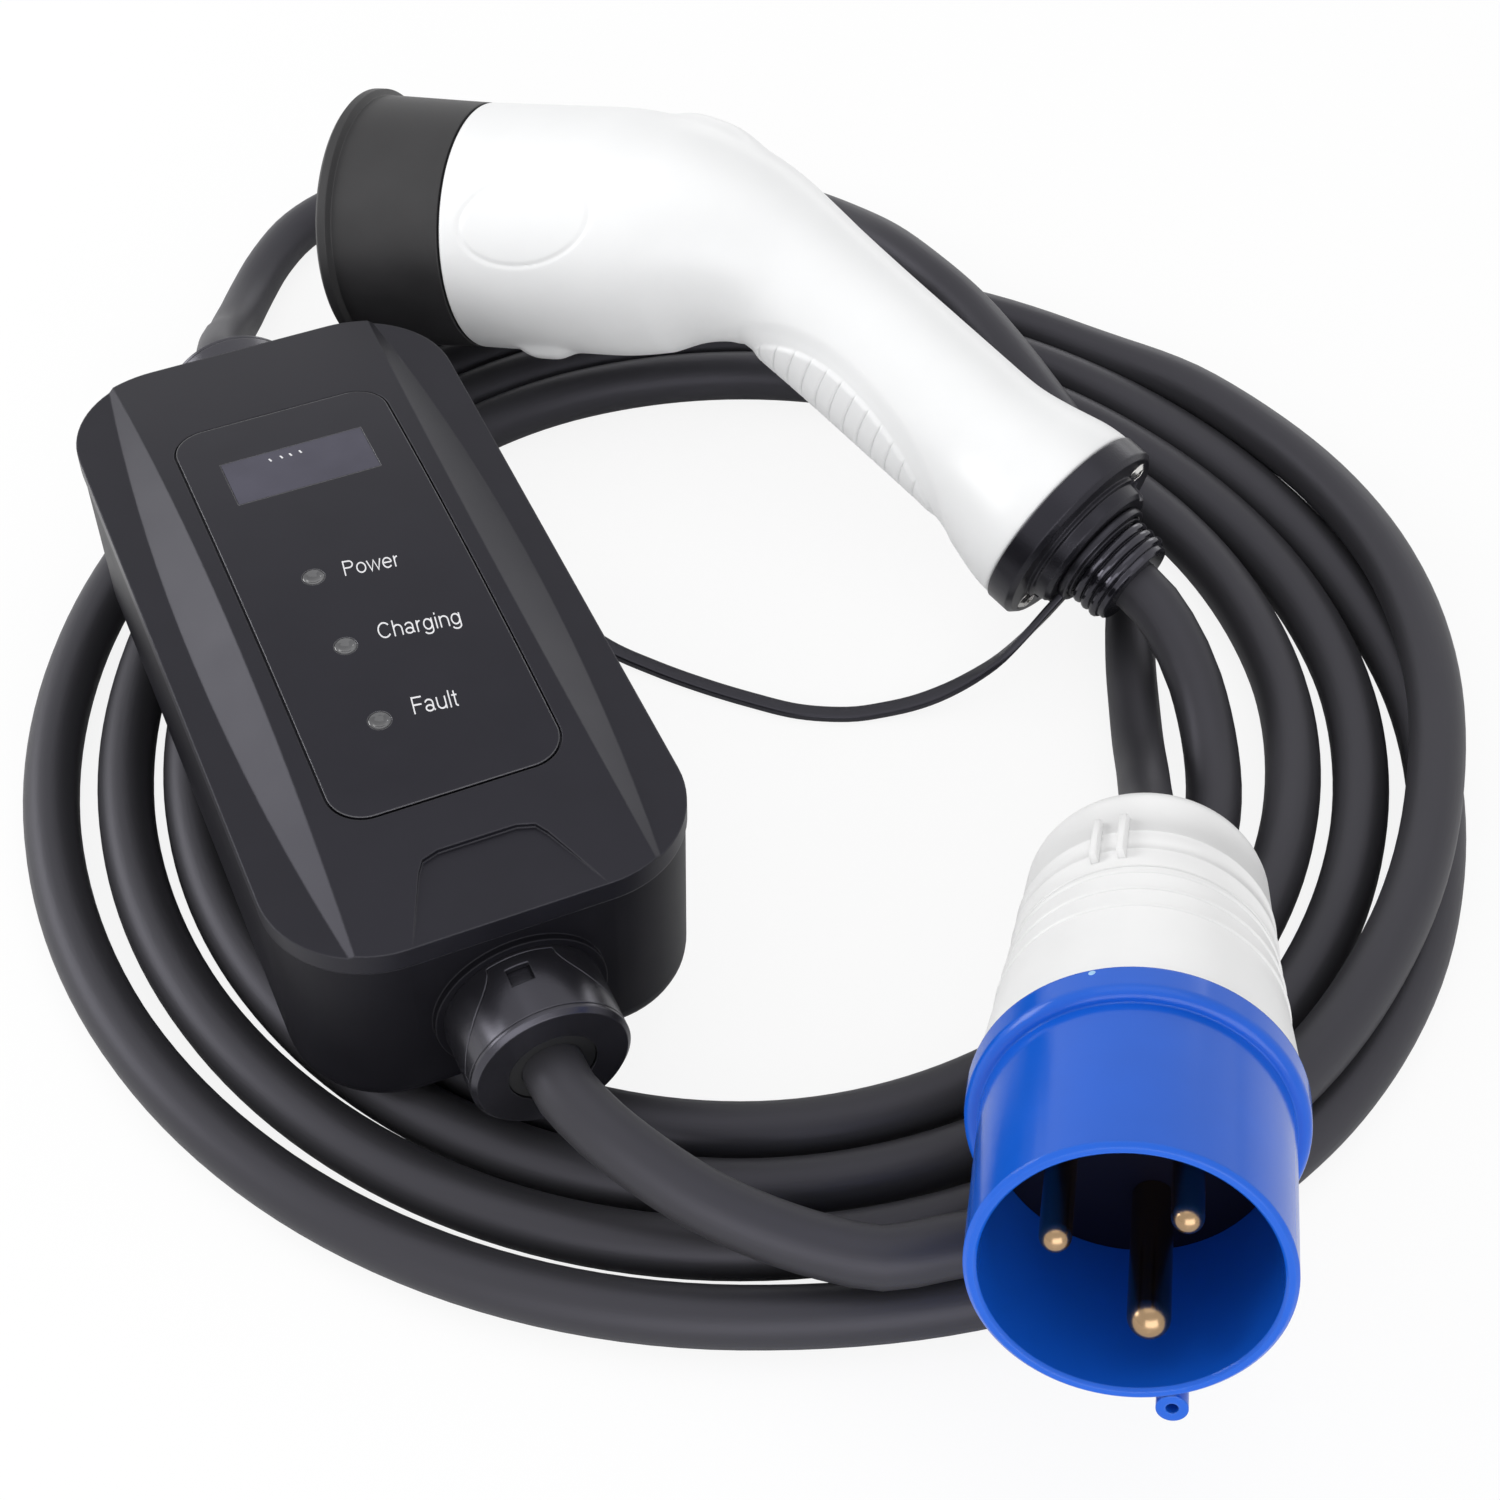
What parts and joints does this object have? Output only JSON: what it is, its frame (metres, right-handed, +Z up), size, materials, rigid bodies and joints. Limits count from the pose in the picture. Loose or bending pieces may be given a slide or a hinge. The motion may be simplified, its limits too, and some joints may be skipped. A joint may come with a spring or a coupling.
{
  "type": "portable ev charger",
  "caption": "Portable car charger: control box with status panel, coiled charging cable with a capped vehicle connector, and a supply cord with a blue industrial plug.",
  "frame": {"origin": "on the floor, under the middle of the box that bounds the control box, the vehicle connector and its cap", "axes": "+Z up; +Y away from the plug, towards the connector's nose; +X towards the side on which the plug lies"},
  "size_m": [0.3412, 0.4384, 0.1022],
  "materials": {
    "charcoal_plastic": "satin moulded plastic",
    "panel_gloss": "smooth label film",
    "display_tint": "tinted window",
    "lens_clear": "translucent lens",
    "seal_rubber": "soft matte",
    "board_green": "solder mask",
    "component_dark": "moulded",
    "component_block": "taped",
    "screw_steel": "plated",
    "handle_white": "satin moulded plastic",
    "insert_black": "moulded",
    "contact_silver": "silver plated",
    "cap_rubber": "soft matte",
    "cover_black": "fine grain",
    "plug_blue": "smooth",
    "carrier_blue": "moulded",
    "pin_brass": "polished",
    "plug_white": "satin moulded plastic",
    "cable_rubber": "smooth matte sheath"
  },
  "bodies": {
    "charger": {"box_base": "charcoal_plastic", "box_lid": "charcoal_plastic", "lid_seal": "seal_rubber", "front_panel": "panel_gloss", "display_window": "display_tint", "indicator_lenses": "lens_clear", "circuit_board": "board_green", "power_relays": "component_dark", "leakage_sensor": "component_dark", "supply_module": "component_block", "capacitors": "component_dark", "lid_screws": "screw_steel", "supply_gland": "charcoal_plastic", "supply_gland_clip": "charcoal_plastic", "supply_gland_seal": "seal_rubber", "outlet_gland": "charcoal_plastic", "outlet_gland_clip": "charcoal_plastic", "outlet_gland_seal": "seal_rubber", "handle_shell": "handle_white", "nose_sleeve": "insert_black", "contact_carrier": "insert_black", "contact_sleeves": "contact_silver", "cap_strap": "cap_rubber", "rear_cover": "cover_black", "rear_cover_screws": "screw_steel", "handle_gland_nut": "cover_black", "handle_cable_clamp": "insert_black", "plug_shroud": "plug_blue", "plug_carrier": "carrier_blue", "line_pin": "pin_brass", "neutral_pin": "pin_brass", "earth_pin": "pin_brass", "plug_body": "plug_white", "plug_rear_nut": "plug_white", "plug_cable_seal": "seal_rubber", "plug_cord_clamp": "plug_white", "supply_cord": "cable_rubber", "ev_cable_lead": "cable_rubber", "ev_cable_coil": "cable_rubber", "ev_cable_tail": "cable_rubber"},
    "cap": {"protective_cap": "cap_rubber"}
  },
  "joints": [
    {"name": "cap_pull", "type": "slide", "parent": "charger", "child": "cap", "axis": [-0.943, 0.2919, -0.1599], "range_m": [0, 0.0285], "deforming": ["cap_strap"]}
  ]
}
